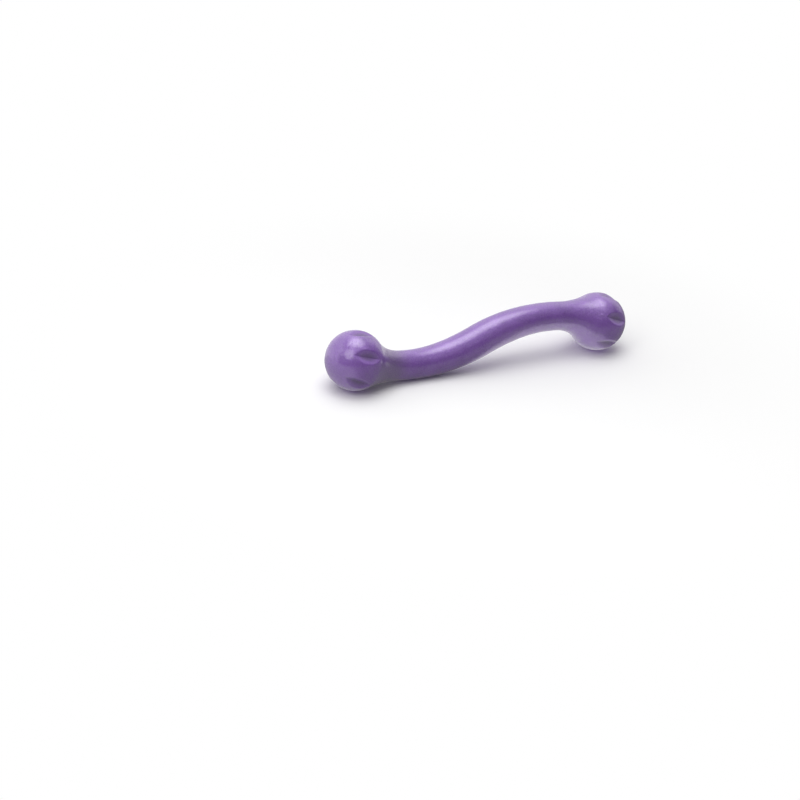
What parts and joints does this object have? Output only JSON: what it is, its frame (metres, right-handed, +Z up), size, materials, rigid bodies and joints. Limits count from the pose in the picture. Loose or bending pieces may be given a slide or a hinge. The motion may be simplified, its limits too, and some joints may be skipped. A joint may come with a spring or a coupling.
{
  "type": "rubber chew toy",
  "caption": "Flexible solid rubber fetch stick for a dog: a round stem in a gentle S with a round bulb at each end, each bulb with leaf-shaped V grooves round it.",
  "frame": {"origin": "middle of the stem, halfway between the centres of the two bulbs", "axes": "+X from the left bulb to the right bulb, +Z up with the toy lying on its bulbs, the S of the stem in the XZ plane with its right half above the line between the bulbs"},
  "size_m": [0.33, 0.057, 0.057],
  "materials": {
    "rubber": "satin"
  },
  "bodies": {
    "grip": {"grip": "rubber"},
    "left_arm": {"left_bend": "rubber", "left_arm": "rubber"},
    "left_bulb": {"left_neck": "rubber", "left_bulb": "rubber"},
    "right_arm": {"right_bend": "rubber", "right_arm": "rubber"},
    "right_bulb": {"right_neck": "rubber", "right_bulb": "rubber"}
  },
  "joints": [
    {"name": "left_arm_flex", "type": "hinge", "parent": "grip", "child": "left_arm", "pos_m": [-0.0407, 0, -0.01197], "axis": [0, -1, 0], "range_deg": [-30, 30], "stiffness_Nm_per_rad": 2.1, "deforming": ["left_bend"]},
    {"name": "left_bulb_flex", "type": "hinge", "parent": "left_arm", "child": "left_bulb", "pos_m": [-0.10408, 0, -0.01005], "axis": [0.2182, 0, 0.9759], "range_deg": [-20, 20], "stiffness_Nm_per_rad": 2.7, "deforming": ["left_neck"]},
    {"name": "right_arm_flex", "type": "hinge", "parent": "grip", "child": "right_arm", "pos_m": [0.0407, 0, 0.01197], "axis": [0, -1, 0], "range_deg": [-30, 30], "stiffness_Nm_per_rad": 2.1, "deforming": ["right_bend"]},
    {"name": "right_bulb_flex", "type": "hinge", "parent": "right_arm", "child": "right_bulb", "pos_m": [0.10408, 0, 0.01005], "axis": [0.2182, 0, 0.9759], "range_deg": [-20, 20], "stiffness_Nm_per_rad": 2.7, "deforming": ["right_neck"]}
  ]
}
